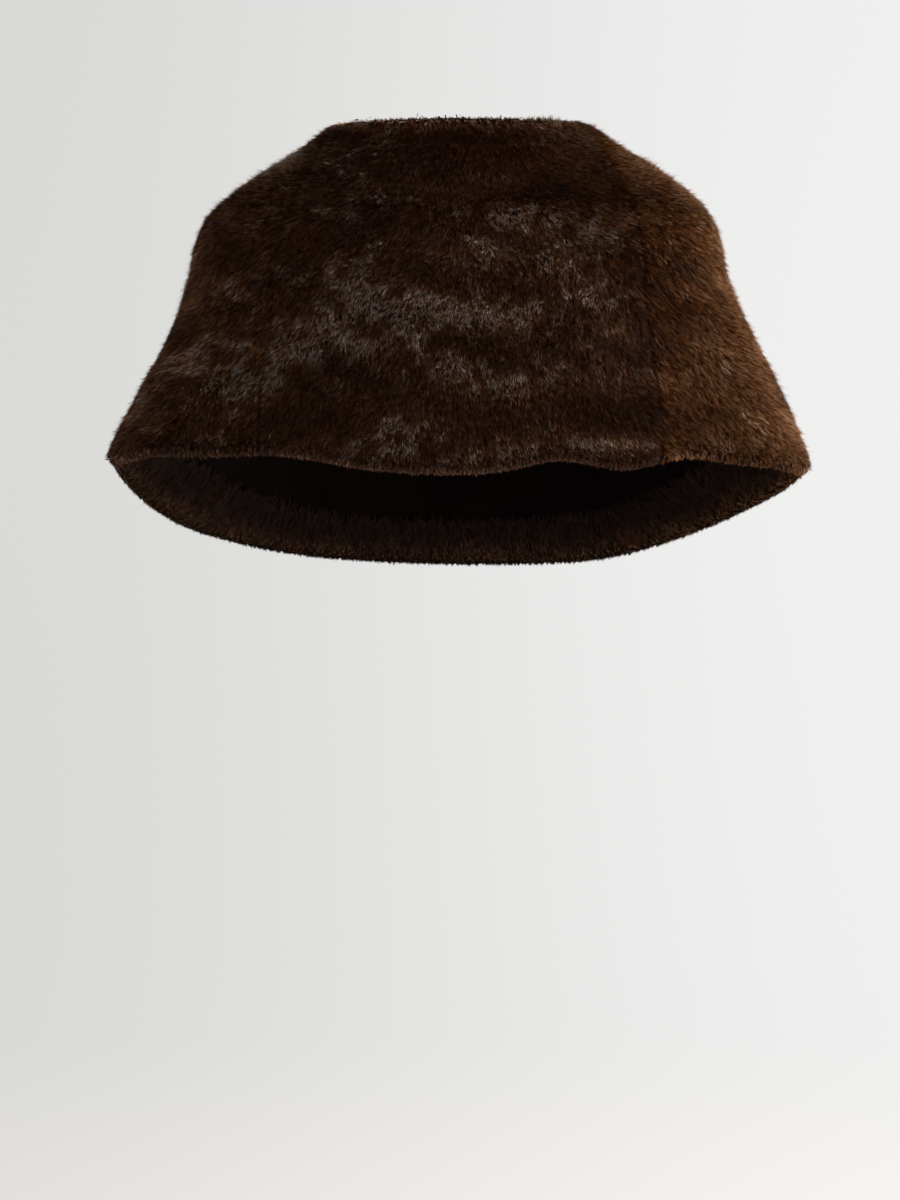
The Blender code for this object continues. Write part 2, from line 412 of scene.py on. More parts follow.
class Bed(NamedTuple):
    """Places where hair grows: points, outward directions, nap directions, and what they add to the tone.

    Below 0, down runs over the neck edge to the inside, and past 1 round the hem's fold.
    """

    root: Array
    outward: Array
    nap: Array
    angle: Array
    down: Array
    tone: Array


BedPlace = Callable[[Array, Array], Bed]    # gives the bed at two numbers from 0 to 1
Hair = tuple[Array, Array, Array]           # points, faces and map places


def put_mesh(name: str, points: Array, faces: Array) -> bpy.types.Object:
    """Makes an object from whole arrays.

    Args:
        name: The piece's name.
        points: Vertices, one row each.
        faces: Vertex numbers, one row for each face.

    Returns:
        The object, linked into the scene at the origin.
    """
    mesh = bpy.data.meshes.new(name)
    corners = faces.shape[1]
    mesh.vertices.add(len(points))
    mesh.vertices.foreach_set("co", np.ascontiguousarray(points, np.float32).ravel())
    mesh.loops.add(faces.size)
    mesh.loops.foreach_set("vertex_index", np.ascontiguousarray(faces, np.int32).ravel())
    mesh.polygons.add(len(faces))
    mesh.polygons.foreach_set("loop_start", np.arange(0, faces.size, corners, dtype=np.int32))
    mesh.update(calc_edges=True)
    piece = bpy.data.objects.new(name, mesh)
    bpy.context.scene.collection.objects.link(piece)
    return piece


def outward_faces(points: Array, faces: Array) -> Array:
    """Turns the faces of a closed wall outwards, by the sign of its volume.

    Args:
        points: Vertices.
        faces: Quads of a closed wall.

    Returns:
        The same quads, turned round if the volume was negative.
    """
    a, b, c, d = (points[faces[:, k]] for k in range(4))
    volume = (np.cross(a, b) * c).sum() + (np.cross(a, c) * d).sum()
    return faces if volume > 0 else faces[:, ::-1]


def closed_wall(name: str, sections: Array) -> bpy.types.Object:
    """Joins closed sections side by side into a wall and closes its two ends.

    A section runs down the wall's one face and up the other, so the ends close with strips across it.

    Args:
        name: The piece's name.
        sections: Points, as column, place round the section, and x, y, z.

    Returns:
        The wall as one smooth-shaded object.
    """
    columns, around = sections.shape[:2]
    numbers = np.arange(columns * around).reshape(columns, around)
    here, there = numbers, np.roll(numbers, -1, axis=1)
    strips = [here[:-1], there[:-1], there[1:], here[1:]]
    faces = [np.stack([s.ravel() for s in strips], axis=1)]
    for end in (0, -1):
        near = numbers[end, : around // 2]
        far = numbers[end, around // 2 :][::-1]
        cap = np.stack([near[:-1], near[1:], far[1:], far[:-1]], axis=1)
        faces.append(cap if end else cap[:, ::-1])
    points = sections.reshape(-1, 3)
    piece = put_mesh(name, points, outward_faces(points, np.concatenate(faces)))
    piece.data.shade_smooth()
    return piece


def set_inputs(tree: bpy.types.NodeTree, node: bpy.types.Node, inputs: dict[str | int, Any]) -> None:
    """Sets or links the inputs of a node.

    Args:
        tree: The material's node tree.
        node: The node.
        inputs: A value, or the socket to link from, for each input.
    """
    for key, value in inputs.items():
        if isinstance(value, bpy.types.NodeSocket):
            tree.links.new(value, node.inputs[key])
        else:
            node.inputs[key].default_value = value


def add_node(
    tree: bpy.types.NodeTree,
    kind: str,
    inputs: dict[str | int, Any] | None = None,
    settings: dict[str, Any] | None = None,
    stops: Sequence[tuple[float, str]] = (),
) -> bpy.types.Node:
    """Adds a node with its values, links and settings.

    Args:
        tree: The material's node tree.
        kind: The node's type.
        inputs: A value, or the socket to link from, for each input.
        settings: Properties of the node.
        stops: Places from 0 to 1 along a colour ramp, each with a hex colour.

    Returns:
        The node.
    """
    node = tree.nodes.new(kind)
    for key, value in (settings or {}).items():
        setattr(node, key, value)
    set_inputs(tree, node, inputs or {})
    if stops:
        elements = node.color_ramp.elements
        while len(elements) < len(stops):
            elements.new(0.5)
        for element, (place, colour) in zip(elements, stops):
            element.position = place
            element.color = linear(colour)
    return node


def new_material(name: str) -> tuple[bpy.types.Material, bpy.types.NodeTree, bpy.types.Node]:
    """Makes a plain material.

    Args:
        name: Its name.

    Returns:
        The material, its node tree and its Principled shader.
    """
    material = bpy.data.materials.new(name)
    material.use_nodes = True
    tree = material.node_tree
    return material, tree, tree.nodes["Principled BSDF"]


@dataclass(frozen=True)
class HairFinish:
    """Dressed fur: each hair is dark at the root and carries its own tone at the tip.

    Its smooth scales give a narrow grey gloss. The tones run from dark brown to silver flecks in cool hairs,
    the silver partly painted sheen, and to tan in warm ones.
    """

    name: str
    root: str
    cool: tuple[tuple[float, str], ...]
    warm: tuple[tuple[float, str], ...]
    roughness: float
    shine: float
    ior: float = 1.55
    fade_start: float = 0.05    # shares of the hair's length between which its own tone fades in
    fade_end: float = 0.75

    def make(self) -> bpy.types.Material:
        """Makes the material: the tone is read across the hair's map, and fades in from root to tip.

        Returns:
            The material.
        """
        material, tree, shader = new_material(self.name)
        stops = [(0.5 * at, colour) for at, colour in self.cool]
        stops += [(0.5 + 0.5 * at, colour) for at, colour in self.warm]
        place = add_node(tree, "ShaderNodeUVMap", settings={"uv_map": PILE_MAP})
        parts = add_node(tree, "ShaderNodeSeparateXYZ", {"Vector": place.outputs["UV"]})
        tone = add_node(tree, "ShaderNodeValToRGB", {"Fac": parts.outputs["X"]}, stops=stops)
        up = add_node(
            tree,
            "ShaderNodeMapRange",
            {"Value": parts.outputs["Y"], "From Min": self.fade_start, "From Max": self.fade_end},
            {"interpolation_type": "SMOOTHSTEP"},
        )
        colour = add_node(
            tree,
            "ShaderNodeMix",
            {"Factor": up.outputs["Result"], 6: linear(self.root), 7: tone.outputs["Color"]},
            {"data_type": "RGBA"},
        )
        finish = {
            "Base Color": colour.outputs[2],
            "Roughness": self.roughness,
            "Specular IOR Level": self.shine,
            "IOR": self.ior,
        }
        set_inputs(tree, shader, finish)
        return material


@dataclass(frozen=True)
class HideFinish:
    """Dense woolly underfur over the hide: matt, dark, and mottled by its small tufts."""

    name: str
    dark: str
    light: str
    tuft: float = 0.0035        # width of a tuft
    relief: float = 0.002       # how far tufts stand up
    roughness: float = 0.92
    shine: float = 0.05

    def make(self) -> bpy.types.Material:
        """Makes the material: noise at the size of a tuft sets both the colour and the bump.

        Returns:
            The material.
        """
        material, tree, shader = new_material(self.name)
        place = add_node(tree, "ShaderNodeTexCoord").outputs["Object"]
        noise = {"Vector": place, "Scale": 0.5 / self.tuft, "Detail": 4.0, "Roughness": 0.65}
        tufts = add_node(tree, "ShaderNodeTexNoise", noise).outputs["Fac"]
        stops = ((0.3, self.dark), (0.75, self.light))
        colour = add_node(tree, "ShaderNodeValToRGB", {"Fac": tufts}, stops=stops)
        raised = {"Height": tufts, "Strength": 0.8, "Distance": self.relief}
        relief = add_node(tree, "ShaderNodeBump", raised)
        finish = {
            "Base Color": colour.outputs["Color"],
            "Normal": relief.outputs["Normal"],
            "Roughness": self.roughness,
            "Specular IOR Level": self.shine,
        }
        set_inputs(tree, shader, finish)
        return material


@dataclass(frozen=True)
class SatinFinish:
    """Warp-faced polyester satin: near black, with a soft sheen along its fine warp threads."""

    name: str = "satin_lining_woven"
    dark: str = "#070303"
    light: str = "#0e0706"
    thread: float = 0.0012      # drawn coarser than the real 0.1 mm, so that it shows
    relief: float = 0.0002      # how far threads stand up
    sheen: float = 1.0 / 18.0   # width of a patch of sheen
    gloss: float = 0.32         # roughness where the sheen is strongest and weakest
    dull: float = 0.48
    shine: float = 0.007

    def make(self) -> bpy.types.Material:
        """Makes the material: fine waves down the cloth for the threads, and slow noise for the sheen.

        A wave texture of scale 1 has a wave every TURN / 20.

        Returns:
            The material.
        """
        material, tree, shader = new_material(self.name)
        cloth = add_node(tree, "ShaderNodeUVMap", settings={"uv_map": "cloth"}).outputs["UV"]
        waves = {"Vector": cloth, "Scale": TURN / (20.0 * self.thread), "Distortion": 1.5, "Detail": 2.0}
        bands = {"wave_type": "BANDS", "bands_direction": "X"}
        threads = add_node(tree, "ShaderNodeTexWave", waves, bands)
        place = add_node(tree, "ShaderNodeTexCoord").outputs["Object"]
        noise = {"Vector": place, "Scale": 1.0 / self.sheen, "Detail": 3.0}
        slow = add_node(tree, "ShaderNodeTexNoise", noise).outputs["Fac"]
        stops = ((0.3, self.dark), (0.75, self.light))
        colour = add_node(tree, "ShaderNodeValToRGB", {"Fac": slow}, stops=stops)
        spread = {"Value": slow, "To Min": self.gloss, "To Max": self.dull}
        roughness = add_node(tree, "ShaderNodeMapRange", spread)
        raised = {"Height": threads.outputs["Fac"], "Strength": 0.25, "Distance": self.relief}
        relief = add_node(tree, "ShaderNodeBump", raised)
        finish = {
            "Base Color": colour.outputs["Color"],
            "Roughness": roughness.outputs["Result"],
            "Normal": relief.outputs["Normal"],
            "Specular IOR Level": self.shine,
        }
        set_inputs(tree, shader, finish)
        return material


@dataclass(frozen=True)
class PaperFinish:
    """Matt studio paper that glows with painted light: a shade brighter towards the lamp, and dimmer towards
    the camera.
    """

    name: str = "studio_paper"
    base: str = "#5e5e5d"
    dim: str = "#d6d6d5"
    bright: str = "#f0f0f0"
    reach: float = 1.5
    glow: float = 0.91
    behind: float = 0.78      # share of the glow on the camera's side
    far: float = -2.0         # places along Y between which the glow changes
    near: float = 2.5

    def make(self) -> bpy.types.Material:
        """Makes the material: its colour runs along X to the bright side, its glow along Y to the camera.

        Returns:
            The material.
        """
        material, tree, shader = new_material(self.name)
        place = add_node(tree, "ShaderNodeTexCoord")
        parts = add_node(tree, "ShaderNodeSeparateXYZ", {"Vector": place.outputs["Object"]})
        along = add_node(
            tree,
            "ShaderNodeMapRange",
            {"Value": parts.outputs["X"], "From Min": self.reach, "From Max": -self.reach},
            {"interpolation_type": "SMOOTHSTEP"},
        )
        stops = ((0.0, self.dim), (1.0, self.bright))
        colour = add_node(tree, "ShaderNodeValToRGB", {"Fac": along.outputs["Result"]}, stops=stops)
        depth = {
            "Value": parts.outputs["Y"],
            "From Min": self.far,
            "From Max": self.near,
            "To Min": self.glow,
            "To Max": self.glow * self.behind,
        }
        glow = add_node(tree, "ShaderNodeMapRange", depth)
        finish = {
            "Emission Color": colour.outputs["Color"],
            "Emission Strength": glow.outputs["Result"],
            "Base Color": linear(self.base),
            "Roughness": 1.0,
            "Specular IOR Level": 0.0,
        }
        set_inputs(tree, shader, finish)
        return material


@dataclass
class Hide:
    """The hide and underfur of the two panels and of their turned-up hem: the shells that carry the hair."""

    form: CapeForm
    walls: Walls
    columns: dict[Side, int] = field(default_factory=lambda: {Side.BACK: 44, Side.FRONT: 112})
    rows: int = 64
    facing_rows: int = 12
    turns: int = 6

    def angles(self, side: Side, down: Array) -> Array:
        """Angles of a panel's columns at each row, as column and row."""
        return self.form.across(side, np.linspace(0.0, 1.0, self.columns[side] + 1)[:, None], down)

    def panel(self, side: Side) -> bpy.types.Object:
        """Builds a panel's hide.

        A section runs over the rolled neck edge, down the hide, round the hem's fold and up the inside.
        The neck edge is a half circle and the fold a quarter of an ellipse.

        Args:
            side: Which panel.

        Returns:
            The shell.
        """
        walls = self.walls
        down = np.linspace(0.0, 1.0, self.rows + 1)
        angles = self.angles(side, down)
        outer, outward, along = self.form.layer(angles, down[None, :], walls.pile)
        inner = outer - (walls.fur - walls.pile) * outward
        turn = (np.linspace(0.0, math.pi, 2 * self.turns + 2)[1:-1])[None, :, None]
        middle = 0.5 * (outer[:, :1] + inner[:, :1])
        radius = 0.5 * (walls.fur - walls.pile)
        roll = middle + radius * (np.cos(turn) * outward[:, :1] - np.sin(turn) * along[:, :1])
        quarter = np.linspace(0.0, 0.5 * math.pi, self.turns + 1)[1:][None, :, None]
        low = along[:, -1:] * walls.fold_drop
        fold = inner[:, -1:] + (outer[:, -1:] - inner[:, -1:]) * np.cos(quarter) + low * np.sin(quarter)
        flat = inner[:, -1:] + low * np.linspace(0.9, 0.1, self.turns)[None, :, None]
        half = [roll[:, : self.turns][:, ::-1], outer, fold]
        back = [flat, inner[:, ::-1], roll[:, self.turns :][:, ::-1]]
        return closed_wall(f"{side.value}_hide", np.concatenate(half + back, axis=1))

    def facing(self, side: Side) -> bpy.types.Object:
        """Builds the turned-up hem's hide, flat against the panel inside it.

        Args:
            side: Which panel's hem.

        Returns:
            The shell.
        """
        walls = self.walls
        down = np.linspace(walls.facing_start, 1.0, self.facing_rows + 1)
        angles = self.angles(side, down)
        outer, outward, along = self.form.layer(angles, down[None, :], walls.fur + walls.gap)
        thick = walls.facing - walls.facing_pile
        inner = outer - thick * outward
        inner[:, :1] += along[:, :1] * walls.facing_brow
        low = along[:, -1:] * walls.fold_drop
        quarter = np.linspace(0.5 * math.pi, 0.0, self.turns + 1)[:-1][None, :, None]
        fold = outer[:, -1:] - thick * outward[:, -1:] * np.cos(quarter) + low * np.sin(quarter)
        flat = outer[:, -1:] + low * np.linspace(0.1, 0.9, self.turns)[None, :, None]
        return closed_wall(
            f"{side.value}_turned_up_hem", np.concatenate([outer, flat, fold, inner[:, ::-1]], axis=1)
        )


@dataclass
class Lining:
    """The satin lining, one thin sheet inside each panel, with soft drag creases."""

    form: CapeForm
    walls: Walls
    columns: dict[Side, int] = field(default_factory=lambda: {Side.BACK: 36, Side.FRONT: 96})
    rows: int = 40
    length: float = 0.34        # of the cloth, for its map
    slack: float = 0.0022       # how far the creases move it
    drag: Drift = Drift((0.045, 0.045, 0.16), 71)
    fine_drag: Drift = Drift((0.020, 0.020, 0.09), 72)

    def build(self, side: Side) -> bpy.types.Object:
        """Builds a panel's lining, with its UV map in metres across and down the cloth.

        Creases are slow noise stretched down the cloth, and they only move it inwards.

        Args:
            side: Which panel.

        Returns:
            The sheet.
        """
        walls = self.walls
        down = np.linspace(walls.lining_start, walls.lining_end, self.rows + 1)
        across = np.linspace(0.0, 1.0, self.columns[side] + 1)[:, None]
        angles = self.form.across(side, across, down)
        outer, outward, _ = self.form.layer(angles, down[None, :], walls.fur + walls.gap)
        held = np.sin(math.pi * across) * np.sin(math.pi * np.linspace(0.0, 1.0, self.rows + 1))[None, :]
        drawn = self.drag.at(outer) + 0.4 * self.fine_drag.at(outer)
        pull = self.slack * np.abs(drawn) * np.sqrt(np.abs(held))
        inner = outer - (walls.lining + pull)[..., None] * outward
        outer = outer - pull[..., None] * outward
        sections = np.concatenate([outer, inner[:, ::-1]], axis=1)
        piece = closed_wall(f"{side.value}_satin_lining", sections)
        long_way = np.linspace(0.0, self.length, self.rows + 1)
        wide_way = across * np.linalg.norm(np.diff(outer[:, self.rows // 2], axis=0), axis=1).sum()
        across_map = np.broadcast_to(wide_way, angles.shape)
        down_map = np.broadcast_to(long_way[None, :], angles.shape)
        both = np.stack([across_map, down_map], axis=-1)
        places = np.concatenate([both, both[:, ::-1]], axis=1).reshape(-1, 2)
        lay_map(piece, "cloth", places)
        return piece


def lay_map(piece: bpy.types.Object, name: str, places: Array) -> None:
    """Gives a piece a UV map from one place for each vertex.

    Args:
        piece: The piece.
        name: The map's name.
        places: Two numbers for each vertex.
    """
    mesh = piece.data
    numbers = np.empty(len(mesh.loops), np.int32)
    mesh.loops.foreach_get("vertex_index", numbers)
    layer = mesh.uv_layers.new(name=name)
    layer.uv.foreach_set("vector", np.ascontiguousarray(places[numbers], np.float32).ravel())


@dataclass(frozen=True)
class Coat:
    """One kind of hair: how densely it stands, how long and wide it is, and how it lies."""

    locks: float                # locks to a square metre
    hairs: int                  # hairs in a lock
    length: float
    width: float
    lift: float                 # radians off the hide
    lock_spread: float          # how far a lock's roots stand apart
    gather: float               # share by which a lock's tips draw together
    tone: float
    tone_spread: float
    fleck: float                # how strongly brushed-up hair turns pale, partly as painted sheen
    stray: float = 0.0          # share of locks that stand out from the rest


@dataclass
class Nap:
    """How the fur lies: its direction, lift, length and tone over the whole cape."""

    form: CapeForm
    ruffles_sheen_and_shade: tuple[Patch, ...] = (      # brushed up, with pale guard hairs partly painted sheen; negative ones are painted shade only
        Patch(-7.5, 0.274, 10.0, 0.035, 0.95),
        Patch(-4.5, 0.360, 4.0, 0.025, 0.80),
        Patch(-32.0, 0.337, 5.0, 0.070, 0.75),
        Patch(-21.0, 0.317, 3.0, 0.035, 0.60),
        Patch(-26.5, 0.544, 7.0, 0.060, 0.70),
        Patch(27.0, 0.277, 5.0, 0.050, 0.60),
        Patch(21.5, 0.469, 6.0, 0.140, 0.65),
        Patch(0.5, 0.557, 15.0, 0.050, 0.90),
        Patch(16.0, 0.165, 5.0, 0.034, 0.60),
        Patch(-1.5, 0.150, 2.5, 0.022, 0.60),
        Patch(-15.0, 0.172, 6.0, 0.024, 0.60),
        Patch(30.0, 0.047, 8.0, 0.026, 0.70),
        Patch(42.0, 0.115, 11.0, 0.044, 0.85),
        Patch(-34.0, 0.054, 10.0, 0.022, 0.70),
        Patch(42.0, 0.757, 9.0, 0.065, 1.20),
        Patch(59.5, 0.742, 8.0, 0.066, 0.60),
        Patch(23.0, 0.695, 7.0, 0.078, 0.70),
        Patch(3.5, 0.687, 12.0, 0.080, 1.00),
        Patch(10.5, 0.907, 7.0, 0.044, 0.60),
        Patch(-7.5, 0.715, 7.0, 0.100, 0.50),
        Patch(-23.5, 0.687, 10.0, 0.070, 0.65),
        Patch(29.0, 0.962, 13.0, 0.024, 0.80),
        Patch(-30.0, 0.958, 11.0, 0.020, 0.35),
        Patch(40.0, 0.500, 14.0, 0.070, 0.60),
        Patch(-47.0, 0.970, 3.0, 0.018, 0.90),
        Patch(-57.0, 0.752, 2.5, 0.064, 0.80),
        Patch(-57.5, 0.897, 2.5, 0.036, 1.00),
        Patch(-4.0, 0.100, 26.0, 0.050, -0.80),
        Patch(-8.0, 0.205, 16.0, 0.025, -0.70),
        Patch(34.0, 0.380, 14.0, 0.060, -0.60),
        Patch(25.0, 0.887, 8.0, 0.050, -0.80),
        Patch(1.0, 0.830, 5.0, 0.050, -0.80),
        Patch(-21.0, 0.857, 14.0, 0.065, -1.30),
        Patch(118.0, 0.420, 12.0, 0.070, 0.70),
        Patch(140.0, 0.700, 16.0, 0.080, 0.90),
        Patch(165.0, 0.300, 14.0, 0.050, 0.70),
        Patch(186.0, 0.610, 15.0, 0.090, 0.90),
        Patch(214.0, 0.780, 14.0, 0.070, 0.80),
        Patch(236.0, 0.480, 12.0, 0.070, 0.75),
        Patch(178.0, 0.860, 22.0, 0.050, -0.60),
        Patch(200.0, 0.420, 16.0, 0.050, -0.60),
    )
    painted_light_and_shade_patches: tuple[Patch, ...] = (        # painted light where paler, painted shade where darker
        Patch(-70.0, 0.165, 20.0, 0.120, 0.34),
        Patch(-84.0, 0.280, 22.0, 0.150, 0.12),
        Patch(76.0, 0.150, 18.0, 0.080, 0.38),
        Patch(8.0, 0.046, 30.0, 0.026, -0.20),
        Patch(-52.0, 0.035, 17.0, 0.060, 0.22),
        Patch(-4.0, 0.120, 28.0, 0.070, -0.06),
        Patch(-49.0, 0.500, 10.0, 0.130, -0.18),
        Patch(-58.0, 0.310, 8.0, 0.060, -0.08),
        Patch(-60.0, 0.800, 12.0, 0.110, 0.08),
        Patch(-33.5, 0.812, 5.0, 0.100, -0.08),
        Patch(-21.0, 0.857, 14.0, 0.060, -0.08),
        Patch(-24.0, 0.480, 12.0, 0.120, -0.04),
        Patch(152.0, 0.480, 15.0, 0.100, -0.05),
        Patch(207.0, 0.640, 16.0, 0.120, 0.05),
    )
    bands: tuple[Band, ...] = (
        Band(0.968, 0.018, 0.20),       # brushed up over the hem's fold, with paler tips that are partly painted light
        Band(0.040, 0.012, -0.50),      # painted shadow under the rolled neck edge
    )
    ruffle_gain: float = 0.9    # strength of the patches and bands
    broken_gain: float = 0.70   # strength of the noise where there is no patch
    coarse_noise: float = 0.45  # shares of the two noises that break up the patches
    fine_noise: float = 0.35
    parting: float = 0.0022     # half width of the parting along a seam
    parting_trim: float = 0.30  # how much shorter the hair is there
    right_parting_shadow: float = 0.26    # how much painted shadow darkens the parting, on the right and the left
    left_parting_shadow: float = 0.10
    hem_trim: float = 0.42      # how much shorter the hair is at the hem, and inside the neck
    neck_trim: float = 0.45
    hem_lift: float = 0.10      # radians by which the hair stands up at the hem
    tuft_angle: float = -45.0   # where it stands up on the neck edge
    tuft_growth: float = 0.70   # how much longer it is there
    tuft_lift: float = 0.40
    slope_angle: float = 74.0   # where it stands up on the slope of the shoulders, either side
    slope_down: float = 0.14
    slope_lift: float = 0.22
    slope_painted_warmth: float = 0.35  # painted light: share of warm hairs that the lit right slope adds
    back_warmth: float = 0.22   # share of warm hairs at the centre back, and the painted light adding more towards the right seam
    seam_painted_warmth: float = 0.22
    left_warmth: float = 0.32   # share of warm hairs past the left seam, and the painted light adding more round to the right side
    right_painted_warmth: float = 0.56
    patch_warmth: float = 0.10
    # warmer tones at the neck edge, part of its painted rim light
    neck_painted_warmth: float = 0.5
    right_step: float = 0.05    # how much paler the fur is just past the right seam, and the painted shadow just before it
    right_dip: float = 0.06
    left_step: float = 0.01     # how much paler it is just past the left seam
    right_painted_light: float = 0.13    # painted light that makes the fur paler on the right flank, and on the left
    left_painted_light: float = 0.03
    front_shade: float = 0.55   # share of that lost round to the centre front
    neck_painted_light: float = 0.18     # painted rim light that makes the neck edge paler
    hang: float = 0.7           # share by which the nap hangs straight down, and not along the panel
    sway: Drift = Drift((0.090, 0.090, 0.060), 11)
    swirl: Drift = Drift((0.026, 0.026, 0.020), 12)
    rise: Drift = Drift((0.040, 0.040, 0.022), 13)
    patchy: Drift = Drift((0.050, 0.050, 0.024), 14)
    mottle: Drift = Drift((0.013, 0.013, 0.011), 15)

    def ruffled(self, bed: Bed) -> Array:
        """Brushing with its painted sheen and shade: the table's patches and bands, broken up by noise.

        Args:
            bed: Where the hair grows.

        Returns:
            About -1, painted shade, to 1.5, brushed up and pale with painted sheen.
        """
        total = patched(self.ruffles_sheen_and_shade, bed.angle, bed.down)
        for band in self.bands:
            total += band.amount * bump(bed.down - band.down, band.spread)
        broken = self.coarse_noise * self.patchy.at(bed.root) + self.fine_noise * self.mottle.at(bed.root)
        return self.ruffle_gain * total * (1.0 + broken) + self.broken_gain * broken

    def warmth(self, bed: Bed) -> Array:
        """The share of warm brown hairs, partly painted light: few on the back, most past the right seam,
        fewer to the left.

        Args:
            bed: Where the hair grows.

        Returns:
            Shares, mostly between 0 and 1.
        """
        away = turned_from(bed.angle, 0.0)
        in_front = np.abs(away) > self.form.seam(bed.down)
        front = self.left_warmth + self.right_painted_warmth * eased((bed.angle % TURN) / TURN, 0.40, 0.78)
        back = self.back_warmth + self.seam_painted_warmth * eased(-away, 0.0, 0.8)
        on_slope = self.slope_painted_warmth * (away < 0.0) * self.slope(bed)
        return np.where(in_front, front, back) + self.patch_warmth * self.patchy.at(bed.root) + on_slope

    def slope(self, bed: Bed) -> Array:
        """1 on the slope of a shoulder, falling to 0 round it."""
        away = np.abs(turned_from(bed.angle, 0.0)) - math.radians(self.slope_angle)
        return bump(away, 0.42) * bump(bed.down - self.slope_down, 0.10)

    def trim(self, bed: Bed) -> Array:
        """The hair's length, as a share: shorter towards the hem and inside the neck, and on seams.

        Args:
            bed: Where the hair grows.

        Returns:
            Shares of the coat's length.
        """
        at_hem = self.hem_trim * eased(bed.down, 0.940, 1.0)
        at_neck = self.neck_trim * eased(-bed.down, 0.006, 0.040)
        grown = 1.0 - at_hem - at_neck + self.tuft_growth * self.tuft(bed)
        return grown * (1.0 - self.parting_trim * self.seam_shade(bed))

    def tuft(self, bed: Bed) -> Array:
        """1 on the right end of the back's neck edge, where the fur stands up, falling to 0 round it."""
        return bump(turned_from(bed.angle, self.tuft_angle), 0.21) * bump(bed.down + 0.02, 0.018)

    def stand(self, bed: Bed) -> Array:
        """Radians by which the hair stands up more: on the shoulders' slope, the tuft and over the hem.

        Args:
            bed: Where the hair grows.

        Returns:
            What to add to the lift.
        """
        over_hem = eased(bed.down, 0.950, 1.0) * (bed.down < 1.0)
        return self.slope_lift * self.slope(bed) + self.hem_lift * over_hem + self.tuft_lift * self.tuft(bed)

    def flank_painted_light(self, bed: Bed) -> Array:
        """How much paler the fur is past the seams, and its painted light on the flanks, more so on the
        right.

        Args:
            bed: Where the hair grows.

        Returns:
            What to add to the tone.
        """
        away = turned_from(bed.angle, 0.0)
        past = np.abs(away) - self.form.seam(bed.down)
        # painted shadow just before the right seam
        at_seam = self.right_step * (past > 0.0) - self.right_dip * bump(past + 0.06, 0.06)
        right = at_seam + self.right_painted_light * eased(past, 0.08, 0.75)
        left = self.left_step * (past > 0.0) + self.left_painted_light * eased(past, 0.25, 0.95)
        return np.where(away < 0.0, right, left) * (1.0 - self.front_shade * eased(np.abs(away), 1.90, 2.90))

    def painted_light_and_shade(self, bed: Bed) -> Array:
        """What the place adds to the tone: painted light and shade on flanks, neck edge, patches and seams.

        Args:
            bed: Where the hair grows.

        Returns:
            What to add to the tone.
        """
        on_right = turned_from(bed.angle, 0.0) < 0.0
        # painted shadow along the seams' partings
        line = np.where(on_right, self.right_parting_shadow, self.left_parting_shadow) * self.seam_shade(bed)
        glow = self.flank_painted_light(bed) + self.neck_painted_light * self.collar_painted_light(bed)
        return glow - line + patched(self.painted_light_and_shade_patches, bed.angle, bed.down)

    def collar_painted_light(self, bed: Bed) -> Array:
        """1 at the neck edge, falling to 0 just below it, where painted rim light makes the fur paler and
        warmer.
        """
        return bump(bed.down, 0.005)

    def combed(self, bed: Bed) -> Array:
        """The nap, drawn partly towards straight down where it already runs down the face.

        Args:
            bed: Where the hair grows.

        Returns:
            Directions along the hide.
        """
        fall = np.array([0.0, 0.0, -1.0]) - bed.outward * -bed.outward[:, 2:]
        on_face = (bed.down > 0.0) & (bed.down < 1.0) & (bed.nap[:, 2] < 0.0)
        mixed = unit((1.0 - self.hang) * bed.nap + self.hang * unit(fall))
        return np.where(on_face[:, None], mixed, bed.nap)

    def seam_shade(self, bed: Bed) -> Array:
        """1 on a seam, falling to 0 beside it.

        Args:
            bed: Where the hair grows.

        Returns:
            Shares from 0 to 1.
        """
        slope = np.linalg.norm(self.form.slopes(bed.angle, bed.down)[0], axis=-1)
        apart = np.abs(np.abs(turned_from(bed.angle, 0.0)) - self.form.seam(bed.down)) * slope
        return bump(apart, self.parting)


@dataclass(frozen=True)
class Cut:
    """How the hair of one bed differs from its coat's."""

    length: float = 1.0         # share of the coat's length
    lift: float = 0.0           # radians added to the coat's lift
    warm: float = 0.0           # added to the share of warm hairs
    spread: float = 1.0         # share of the coat's spread, less on a tight round, where hair lies even
    lit_and_shaded: bool = True         # whether the nap's painted light and shade reach it


class Locks(NamedTuple):
    """Locks of hair on a bed: how each one lies, and what its hairs share."""

    bed: Bed
    combed: Array
    brushed: Array
    turn: Array
    lift: Array
    stray: Array
    length: Array
    tone: Array
    warmth: Array


